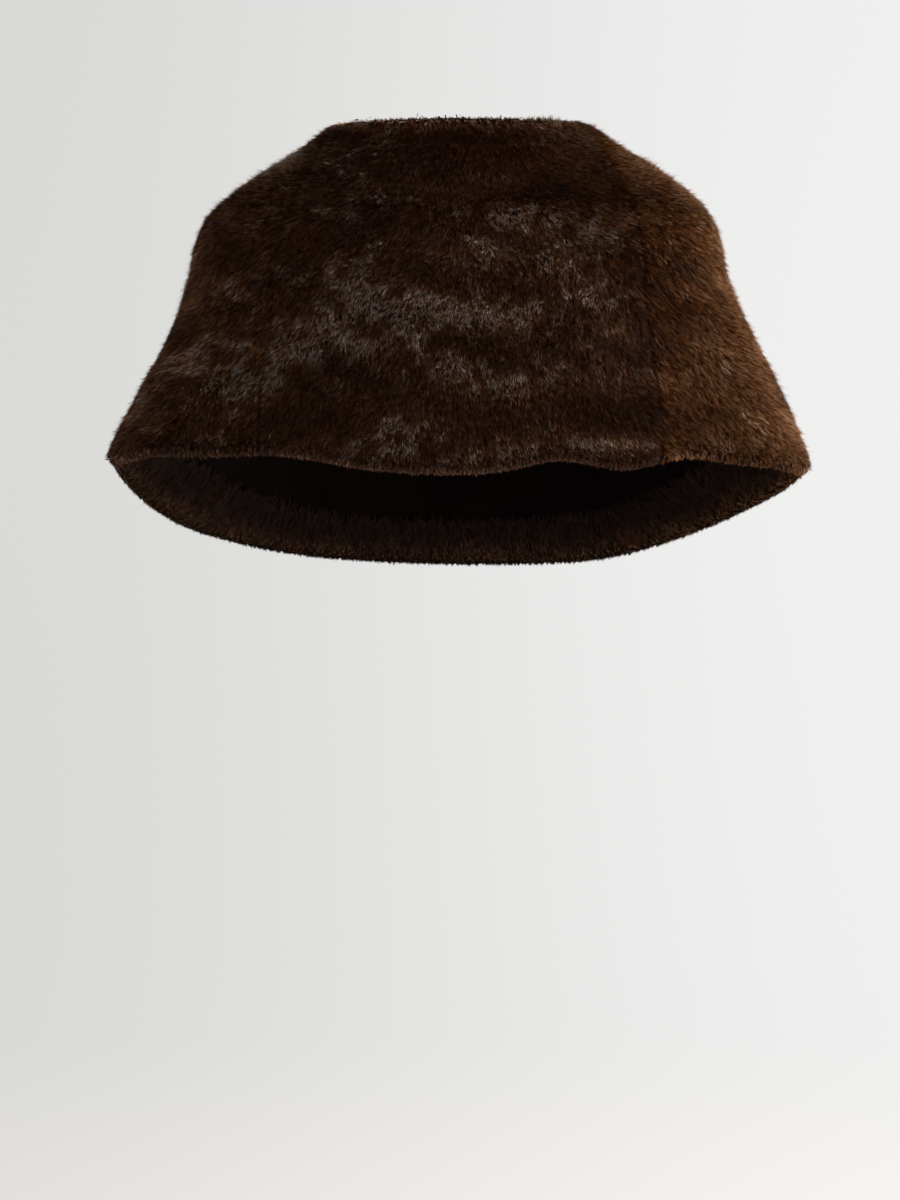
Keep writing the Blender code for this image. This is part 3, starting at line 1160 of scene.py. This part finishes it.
@dataclass
class Pile:
    """Hair on a bed, made as one joined mesh from whole arrays.

    A lock leans along the nap, turned and lifted by noise, and its hairs stand round it with their tips
    drawn together. A hair is a flat blade, wide at the root, whose tip lies where a bowed hair's would: its
    lower half rises more steeply than its upper half. Turns and lifts are in radians.
    """

    nap: Nap
    coat: Coat
    seed: int
    sway: float = 0.09          # turn by slow noise, by fine noise, and by fine noise where brushed up
    swirl: float = 0.06
    brushed_swirl: float = 0.10
    rise: float = 0.06          # lift by noise, and where brushed up, parted or stray
    brushed_rise: float = 0.12
    parted_rise: float = -0.10
    stray_rise: float = 0.28
    lock_turn: float = 0.10     # how much locks vary
    lock_lift: float = 0.06
    lock_length: float = 0.08
    lock_tone: float = 0.04
    sheen_and_shade_tone: float = 0.09
    stray_length: float = 0.12  # strays are longer, wider and more gathered
    stray_width: float = 0.5
    stray_gather: float = 0.92
    hair_turn: float = 0.13     # how much the hairs of a lock vary
    hair_lift: float = 0.09
    hair_length: float = 0.13
    hair_twist: float = 0.65
    hair_width: float = 0.18
    lowest: float = 0.06        # limits of the lift
    highest: float = 1.35
    lower_bow: float = 0.14     # how much more steeply the two halves rise
    upper_bow: float = -0.22
    pale_lock: float = 0.02     # share of pale locks, partly painted sheen, and what brushed-up fur adds
    brushed_lock: float = 0.11
    pale_hair: float = 0.07     # the same for single hairs
    brushed_hair: float = 0.23
    pale_width: float = 0.6
    edge_tone: float = 0.006    # how much a blade's two edges differ
    brushed_fleck: float = 0.10     # shares of the coat's fleck, partly painted sheen: brushed up, pale, and both
    pale_fleck: float = 0.50
    both_fleck: float = 0.80

    def scatter(self, place: BedPlace, cells: int = 140) -> Bed:
        """Spreads locks over a bed, equally densely everywhere.

        The bed is cut into cells, a cell's share of the locks is its area, and a lock lies anywhere in it.

        Args:
            place: Gives the bed at two numbers from 0 to 1.
            cells: How many cells lie along each way.

        Returns:
            The bed at the locks.
        """
        rng = np.random.default_rng(self.seed)
        edge = np.linspace(0.0, 1.0, cells + 1)
        u, v = np.meshgrid(edge, edge, indexing="ij")
        corners = place(u.ravel(), v.ravel()).root.reshape(cells + 1, cells + 1, 3)
        rising = corners[1:, 1:] - corners[:-1, :-1]
        falling = corners[1:, :-1] - corners[:-1, 1:]
        area = 0.5 * np.linalg.norm(np.cross(rising, falling), axis=-1).ravel()
        count = int(area.sum() * self.coat.locks)
        shares = (np.arange(count) + rng.random(count)) / count
        cell = np.clip(np.searchsorted(np.cumsum(area) / area.sum(), shares), 0, area.size - 1)
        first = (cell // cells + rng.random(count)) / cells
        second = (cell % cells + rng.random(count)) / cells
        return place(first, second)

    def lay_locks(self, bed: Bed, cut: Cut, rng: np.random.Generator) -> Locks:
        """Lays the locks along the nap and gives each its tone.

        Args:
            bed: The bed at the locks.
            cut: How its hair differs from the coat's.
            rng: The random draws.

        Returns:
            The locks.
        """
        coat, nap = self.coat, self.nap
        count = len(bed.angle)
        ruffled = nap.ruffled(bed)
        brushed = cut.spread * np.clip(ruffled, 0.0, 1.3)
        turn = self.sway * nap.sway.at(bed.root)
        turn += (self.swirl + self.brushed_swirl * brushed) * nap.swirl.at(bed.root)
        turn += rng.normal(0.0, self.lock_turn, count)
        lift = coat.lift + cut.lift + self.rise * nap.rise.at(bed.root)
        lift += self.brushed_rise * brushed + self.parted_rise * nap.seam_shade(bed)
        stray = rng.random(count) < coat.stray
        lift += nap.stand(bed) + rng.normal(0.0, self.lock_lift, count) + self.stray_rise * stray
        uneven = 1.0 + rng.normal(0.0, self.lock_length, count) + self.stray_length * stray
        length = coat.length * cut.length * nap.trim(bed) * uneven
        tone = coat.tone + bed.tone + self.lock_tone * rng.normal(size=count)
        # brushed-up fur is painted paler as sheen, and negative patches darker as painted shade
        tone += self.sheen_and_shade_tone * np.clip(ruffled, -1.0, 1.0)
        if cut.lit_and_shaded:
            tone += nap.painted_light_and_shade(bed)
        warmth = nap.warmth(bed) + cut.warm + nap.neck_painted_warmth * nap.collar_painted_light(bed)
        return Locks(bed, nap.combed(bed), brushed, turn, lift, stray, length, tone, warmth)

    def blades(
        self, locks: Locks, owner: Array, spread: float, rng: np.random.Generator
    ) -> tuple[Array, Array, Array]:
        """Stands the hairs round the middle of their locks.

        Args:
            locks: The locks.
            owner: The number of each hair's lock.
            spread: Share of the coat's spread of roots.
            rng: The random draws.

        Returns:
            Roots, tips and the directions of the blades' width.
        """
        count = len(owner)
        offset = rng.normal(0.0, self.coat.lock_spread * spread, (2, count))
        way = locks.combed[owner]
        side = unit(np.cross(locks.bed.outward, locks.combed))[owner]
        out = locks.bed.outward[owner]
        apart = offset[0][:, None] * way + offset[1][:, None] * side
        root = locks.bed.root[owner] + apart
        swing = locks.turn[owner] + rng.normal(0.0, self.hair_turn, count)
        steep = locks.lift[owner] + rng.normal(0.0, self.hair_lift, count)
        steep = np.clip(steep, self.lowest, self.highest)
        half = (0.5 * locks.length[owner] * (1.0 + rng.normal(0.0, self.hair_length, count)))[:, None]
        lying = np.cos(swing)[:, None] * way + np.sin(swing)[:, None] * side
        drawn = -np.where(locks.stray, self.stray_gather, self.coat.gather)[owner][:, None] * apart
        tip = root + drawn
        for bow in (self.lower_bow, self.upper_bow):
            tip += half * (np.cos(steep + bow)[:, None] * lying + np.sin(steep + bow)[:, None] * out)
        axis = unit(tip - root)
        flat = unit(np.cross(axis, out))
        twist = rng.normal(0.0, self.hair_twist, count)[:, None]
        return root, tip, np.cos(twist) * flat + np.sin(twist) * np.cross(axis, flat)

    def paleness(self, brushed: Array, owner: Array, rng: np.random.Generator) -> Array:
        """How pale each hair is, partly painted sheen: some whole locks are, and some single hairs, more
        where brushed up.

        Args:
            brushed: How brushed up each lock is.
            owner: The number of each hair's lock.
            rng: The random draws.

        Returns:
            Shares from 0 to 1.
        """
        locks, count = len(brushed), len(owner)
        lock = (rng.random(locks) < self.pale_lock + self.brushed_lock * brushed) * rng.random(locks)
        hair = (rng.random(count) < self.pale_hair + self.brushed_hair * brushed[owner]) * rng.random(count)
        return np.maximum(lock[owner] * rng.uniform(0.4, 1.0, count), hair)

    def grow(self, place: BedPlace, cut: Cut = Cut()) -> Hair:
        """Grows the hair of one bed.

        Args:
            place: Gives the bed at two numbers from 0 to 1.
            cut: How its hair differs from the coat's.

        Returns:
            Points, faces and map places.
        """
        coat = self.coat
        rng = np.random.default_rng(self.seed + 1)
        locks = self.lay_locks(self.scatter(place), cut, rng)
        owner = np.repeat(np.arange(len(locks.turn)), coat.hairs)
        count = len(owner)
        root, tip, wide = self.blades(locks, owner, cut.spread, rng)
        pale = self.paleness(locks.brushed, owner, rng)
        thick = 1.0 + rng.normal(0.0, self.hair_width, count)
        thick += self.pale_width * pale + self.stray_width * locks.stray[owner]
        half = (0.5 * coat.width * thick)[:, None] * wide
        brushed = locks.brushed[owner]
        tone = locks.tone[owner] + cut.spread * coat.tone_spread * rng.normal(size=count)
        flecked = self.brushed_fleck * brushed + (self.pale_fleck + self.both_fleck * brushed) * pale
        tone += coat.fleck * flecked
        tone = 0.5 * np.clip(tone, 0.03, 0.97)
        tone += 0.5 * (rng.random(count) < locks.warmth[owner])
        points = np.stack([root - half, root + half, tip], axis=1)
        faces = 3 * np.arange(count)[:, None] + [0, 2, 1]
        tones = tone[:, None] + np.array([-self.edge_tone, self.edge_tone, 0.0])
        places = np.stack([tones, np.broadcast_to([0.0, 0.0, 1.0], tones.shape)], axis=-1)
        return points.reshape(-1, 3), faces, places.reshape(-1, 2)


def join_hair(name: str, parts: list[Hair]) -> bpy.types.Object:
    """Joins the hair of several beds into one piece.

    Args:
        name: The piece's name.
        parts: Points, faces and map places of each bed.

    Returns:
        The piece.
    """
    starts = np.cumsum([0] + [len(part[0]) for part in parts[:-1]])
    points = np.concatenate([part[0] for part in parts])
    faces = np.concatenate([part[1] + start for part, start in zip(parts, starts)])
    piece = put_mesh(name, points, faces)
    lay_map(piece, PILE_MAP, np.concatenate([part[2] for part in parts]))
    return piece


@dataclass
class Beds:
    """The places where the hair of a panel, or of half of it, grows, as functions of two shares u and v."""

    form: CapeForm
    walls: Walls
    side: Side
    half: int | None = None     # the left half (0), the right half (1) or the whole
    neck_reach: float = 165.0   # degrees of the rolled edge that carry hair
    neck_span: float = 0.05     # share of the way down that they count as
    neck_bed_painted_light: float = 0.48     # painted rim light that makes the neck edge paler
    fold_tone: float = 0.02     # how much paler the fold's lowest line is
    facing_shade: float = 0.20  # how much darker the turned-up hem is at its upper edge
    facing_glow: float = 0.16   # how much paler it is at the fold

    def angles(self, u: Array, down: Array) -> Array:
        """Angles at u across the panel, or across its half."""
        share = u if self.half is None else 0.5 * (u + self.half)
        return self.form.across(self.side, share, down)

    def face(self, u: Array, v: Array) -> Bed:
        """The outer face, where the nap runs down to the hem.

        Args:
            u: Shares of the way across.
            v: Shares of the way down.

        Returns:
            The bed there.
        """
        angle = self.angles(u, v)
        root, outward, along = self.form.layer(angle, v, self.walls.pile)
        return Bed(root, outward, along, angle, v, np.zeros_like(v))

    def neck(self, u: Array, v: Array) -> Bed:
        """The rolled neck edge: a half circle, over which the nap runs outwards.

        Args:
            u: Shares of the way across.
            v: Shares of the way from the inside over to the outside.

        Returns:
            The bed there.
        """
        radius = 0.5 * (self.walls.fur - self.walls.pile)
        top = np.zeros_like(v)
        angle = self.angles(u, top)
        middle, outward, along = self.form.layer(angle, top, self.walls.pile + radius)
        turn = (math.radians(self.neck_reach) * (1.0 - v))[:, None]
        away = np.cos(turn) * outward - np.sin(turn) * along
        nap = np.sin(turn) * outward + np.cos(turn) * along
        # painted rim light, paler towards the outer side of the roll
        tone = self.neck_bed_painted_light * eased(v, 0.2)
        return Bed(middle + radius * away, away, nap, angle, self.neck_span * (v - 1.0), tone)

    def fold(self, u: Array, v: Array) -> Bed:
        """The hem's fold: half an ellipse, round which the nap runs to the inside.

        Args:
            u: Shares of the way across.
            v: Shares of the way round the fold.

        Returns:
            The bed there.
        """
        walls = self.walls
        hem = np.ones_like(v)
        angle = self.angles(u, hem)
        foot, outward, along = self.form.layer(angle, hem, walls.fur)
        turn = (math.pi * v)[:, None]
        reach = np.where(np.cos(turn) > 0, walls.fur - walls.pile, walls.facing - walls.facing_pile)
        root = foot + reach * np.cos(turn) * outward + walls.fold_drop * np.sin(turn) * along
        away = unit(np.cos(turn) * outward + np.sin(turn) * along)
        nap = unit(np.cos(turn) * along - np.sin(turn) * outward)
        return Bed(root, away, nap, angle, hem + v, self.fold_tone * bump(v - 0.42, 0.16))

    def turned_up(self, u: Array, v: Array) -> Bed:
        """The turned-up hem, where the nap runs up inside and darkens away from the fold.

        Args:
            u: Shares of the way across.
            v: Shares of the way down the facing.

        Returns:
            The bed there.
        """
        walls = self.walls
        depth = walls.fur + walls.gap + walls.facing - walls.facing_pile
        down = walls.facing_start + (1.0 - walls.facing_start) * v
        angle = self.angles(u, down)
        root, outward, along = self.form.layer(angle, down, depth)
        tone = self.facing_shade * (eased(v, 0.45) - 1.0) + self.facing_glow * eased(v, 0.5)
        return Bed(root, -outward, -along, angle, down, tone)


@dataclass
class FurCape:
    """The whole garment: hides, lining and hair, dressed."""

    form: CapeForm = CapeForm()
    walls: Walls = Walls()
    back_guard: Coat = Coat(
        locks=200e3, hairs=8, length=0.0094, width=0.00038, lift=0.52, lock_spread=0.0015,
        gather=0.55, tone=0.33, tone_spread=0.11, fleck=0.54, stray=0.10,
    )
    front_guard: Coat = Coat(
        locks=128e3, hairs=8, length=0.0094, width=0.00044, lift=0.54, lock_spread=0.0017,
        gather=0.55, tone=0.36, tone_spread=0.11, fleck=0.46, stray=0.12,
    )
    under: Coat = Coat(
        locks=60e3, hairs=8, length=0.0074, width=0.0013, lift=0.66, lock_spread=0.0028,
        gather=0.20, tone=0.22, tone_spread=0.07, fleck=0.14,
    )
    inside: Coat = Coat(
        locks=110e3, hairs=6, length=0.0085, width=0.0010, lift=0.22, lock_spread=0.0020,
        gather=0.20, tone=0.16, tone_spread=0.06, fleck=0.06,
    )
    guard_finish: HairFinish = HairFinish(
        "dressed_fur_guard_hair", "#0d0603",
        (
            (0.0, "#180a05"), (0.25, "#351d11"), (0.45, "#543a2a"), (0.62, "#705d50"),
            (0.80, "#8e827d"), (0.98, "#b0a8a6"),
        ),
        (
            (0.02, "#1e0d04"), (0.25, "#43230d"), (0.45, "#693f20"), (0.62, "#875c36"),
            (0.80, "#9f7b59"), (1.0, "#b69f87"),
        ),
        0.42, 0.06,
    )
    under_finish: HairFinish = HairFinish(
        "dressed_fur_underfur", "#0c0602",
        ((0.0, "#160a04"), (0.3, "#321a0c"), (0.6, "#55341b"), (0.98, "#775b45")),
        ((0.02, "#1a0b04"), (0.3, "#3f200b"), (0.6, "#69411f"), (1.0, "#8a694b")),
        0.70, 0.02,
    )
    hide_finish: HideFinish = HideFinish("fur_hide_underwool", "#0b0502", "#1c0f08")
    satin_finish: SatinFinish = SatinFinish()
    fold_lift: dict[Side, float] = field(default_factory=lambda: {Side.BACK: -0.38, Side.FRONT: -0.26})

    def add(self, piece: bpy.types.Object, slot: str, material: bpy.types.Material) -> bpy.types.Object:
        """Dresses a piece and lets it ride on the cape.

        Args:
            piece: The piece.
            slot: Not used.
            material: Its material.

        Returns:
            The piece.
        """
        piece.data.materials.append(material)
        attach(piece, BODY)
        LOG.info("%s: %d faces", piece.name, len(piece.data.polygons))
        return piece

    def grow_panel(
        self, side: Side, half: int | None, seed: int, materials: dict[str, bpy.types.Material]
    ) -> list[bpy.types.Object]:
        """Grows the guard hair and the underfur of a panel or of half of it.

        Args:
            side: Which panel.
            half: Which half, or None for the whole.
            seed: Start of the random draws.
            materials: The materials of guard_hair and underfur.

        Returns:
            The guard hair and the underfur.
        """
        nap = Nap(self.form)
        beds = Beds(self.form, self.walls, side, half)
        guard = Pile(nap, self.back_guard if side is Side.BACK else self.front_guard, seed)
        under = Pile(nap, self.under, seed + 10)
        # On the neck edge the added warm tones are part of its painted rim light.
        grown = {}
        grown["guard_hair"] = [
            guard.grow(beds.face),
            guard.grow(beds.neck, Cut(length=0.50, lift=-0.05, warm=0.8, spread=0.5)),
            guard.grow(beds.fold, Cut(length=0.80, lift=self.fold_lift[side], spread=0.5)),
        ]
        grown["underfur"] = [
            under.grow(beds.face),
            under.grow(beds.neck, Cut(length=0.40, lift=-0.20, warm=0.8, spread=0.25)),
            under.grow(beds.fold, Cut(length=0.90, lift=-0.40, spread=0.25)),
        ]
        name = side.value if half is None else f"{side.value}_{('left', 'right')[half]}"
        return [
            self.add(join_hair(f"{name}_{kind}", parts), "fur", materials[kind])
            for kind, parts in grown.items()
        ]

    def build(self) -> None:
        hide = Hide(self.form, self.walls)
        lining = Lining(self.form, self.walls)
        hide_material = self.hide_finish.make()
        satin = self.satin_finish.make()
        hair_materials = {"guard_hair": self.guard_finish.make(), "underfur": self.under_finish.make()}
        for number, side in enumerate(Side):
            panel = self.add(hide.panel(side), "fur", hide_material)
            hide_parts(f"{side.value}_panel")
            hair = []
            for half in (None,) if side is Side.BACK else (0, 1):
                seed = 101 * (number + 1) + 30 * (half or 0)
                hair += self.grow_panel(side, half, seed, hair_materials)
            facing = self.add(hide.facing(side), "turned_up_fur", hide_material)
            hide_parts(f"{side.value}_hem_facing")
            lying = Pile(Nap(self.form), self.inside, 500 + 20 * number)
            turned_up = Beds(self.form, self.walls, side).turned_up
            turned = lying.grow(turned_up, Cut(warm=-0.35, lit_and_shaded=False))
            turned_hair = join_hair(f"{side.value}_turned_up_fur", [turned])
            self.add(turned_hair, "turned_up_fur", hair_materials["guard_hair"])
            sheet = self.add(lining.build(side), "satin", satin)
            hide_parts(f"{side.value}_lining")


@dataclass
class Studio:
    """Paper cove, soft lamps and the camera."""

    floor: float = -1.45
    radius: float = 6.0
    bend: float = 1.6
    wall: float = 4.2
    floor_rings: int = 8
    bend_rings: int = 16
    columns: int = 96
    camera_place: tuple[float, float, float] = (0.0087, 2.5, -0.340)
    view_height: float = 1.104      # what the picture's height spans at the origin's distance
    sensor: float = 36.0
    paper: PaperFinish = PaperFinish()
    air: float = 0.10

    def cove(self) -> bpy.types.Object:
        """Builds the floor and wall as one surface turned about Z: flat, a quarter circle, then upright.

        Returns:
            The cove.
        """
        turn = np.linspace(0.0, 0.5 * math.pi, self.bend_rings)
        flat = np.linspace(0.0005, self.radius - self.bend, self.floor_rings)[:-1]
        reach = np.concatenate([flat, self.radius - self.bend + self.bend * np.sin(turn), [self.radius]])
        low = self.floor + self.bend
        level = np.full(len(flat), self.floor)
        height = np.concatenate([level, low - self.bend * np.cos(turn), [self.wall]])
        round_it = np.linspace(0.0, TURN, self.columns, endpoint=False)[:, None]
        upright = np.broadcast_to(height, (len(round_it), len(reach)))
        points = np.stack([reach * np.cos(round_it), reach * np.sin(round_it), upright], axis=-1)
        numbers = np.arange(points.shape[0] * points.shape[1]).reshape(points.shape[:2])
        after = np.roll(numbers, -1, axis=0)
        strips = [numbers[:, :-1], numbers[:, 1:], after[:, 1:], after[:, :-1]]
        piece = put_mesh("studio_cove", points.reshape(-1, 3), np.stack([s.ravel() for s in strips], axis=1))
        piece.data.shade_smooth()
        piece.data.materials.append(self.paper.make())
        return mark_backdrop(piece)

    def lamp(
        self,
        name: str,
        place: tuple[float, float, float],
        aim: tuple[float, float, float],
        size: float,
        watts: float,
        colour: str = "#ffffff",
    ) -> None:
        """Adds a square soft lamp.

        Args:
            name: Its name.
            place: Where it stands.
            aim: What it points at.
            size: Length of its side.
            watts: Its power.
            colour: Its colour.
        """
        data = bpy.data.lights.new(name, "AREA")
        data.shape = "SQUARE"
        data.size = size
        data.energy = watts
        data.color = linear(colour)[:3]
        lamp = bpy.data.objects.new(name, data)
        lamp.location = place
        lamp.rotation_mode = "QUATERNION"
        lamp.rotation_quaternion = (Vector(aim) - Vector(place)).to_track_quat("-Z", "Y")
        bpy.context.scene.collection.objects.link(lamp)

    def light(self) -> None:
        """Lights the scene: key and side lamps on the cape's right, a rim lamp, a weak fill, pale air."""
        self.lamp("key_lamp", (-2.5, 0.6, -0.20), (-0.1, 0.0, -0.1), 1.2, 72.0)
        self.lamp("side_lamp", (-1.9, -0.2, 1.50), (-0.15, 0.0, 0.0), 1.0, 125.0, "#ffeedd")
        self.lamp("rim_lamp", (-0.7, -2.6, 1.75), (0.0, 0.0, 0.05), 1.2, 62.0, "#ffdfc4")
        self.lamp("fill_lamp", (2.4, 0.8, 0.45), (0.0, 0.0, -0.1), 1.4, 54.0)
        world = bpy.data.worlds.new("studio_air")
        world.use_nodes = True
        air = world.node_tree.nodes["Background"]
        air.inputs["Color"].default_value = linear("#e6e8ec")
        air.inputs["Strength"].default_value = self.air
        bpy.context.scene.world = world

    def camera(self) -> None:
        """Places the camera behind the cape, level, with the picture's height across the sensor."""
        data = bpy.data.cameras.new("camera")
        data.sensor_width = self.sensor
        data.lens = self.sensor * self.camera_place[1] / self.view_height
        camera = bpy.data.objects.new("camera", data)
        camera.location = self.camera_place
        camera.rotation_mode = "QUATERNION"
        camera.rotation_quaternion = Vector((0.0, -1.0, 0.0)).to_track_quat("-Z", "Y")
        bpy.context.scene.collection.objects.link(camera)
        bpy.context.scene.camera = camera

    def build(self) -> None:
        """Builds the cove, the lamps and the camera."""
        self.cove()
        self.light()
        self.camera()
        bpy.context.scene.view_settings.view_transform = "Standard"


def main() -> None:
    """Loads the frame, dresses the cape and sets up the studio."""
    logging.basicConfig(level=logging.INFO, format="%(name)s %(message)s")
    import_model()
    FurCape().build()
    Studio().build()


if __name__ == "__main__":
    main()
